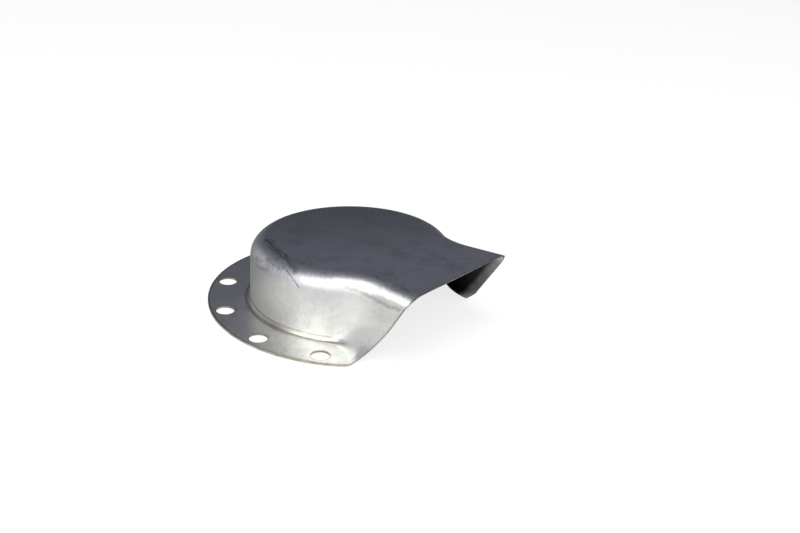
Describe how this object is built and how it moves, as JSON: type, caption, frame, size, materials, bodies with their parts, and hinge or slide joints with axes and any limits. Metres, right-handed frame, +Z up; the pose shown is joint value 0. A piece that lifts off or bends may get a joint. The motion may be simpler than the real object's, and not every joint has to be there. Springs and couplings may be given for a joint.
{
  "type": "exhaust heat shield",
  "caption": "Pressed steel heat shield: a round drawn hood on a flat bolted flange, opening on one side through a flared mouth with a slanted edge.",
  "frame": {"origin": "centre of the round flange and its bolt circle, on the flange's underside", "axes": "+Z up from the flange towards the top of the hood, +X out of the open mouth"},
  "size_m": [0.099, 0.1, 0.0261],
  "materials": {
    "sheet_steel": "satin, with draw marks, scuffs and rust-tinted cut edges"
  },
  "bodies": {
    "root": {"heat_shield": "sheet_steel"}
  },
  "joints": []
}
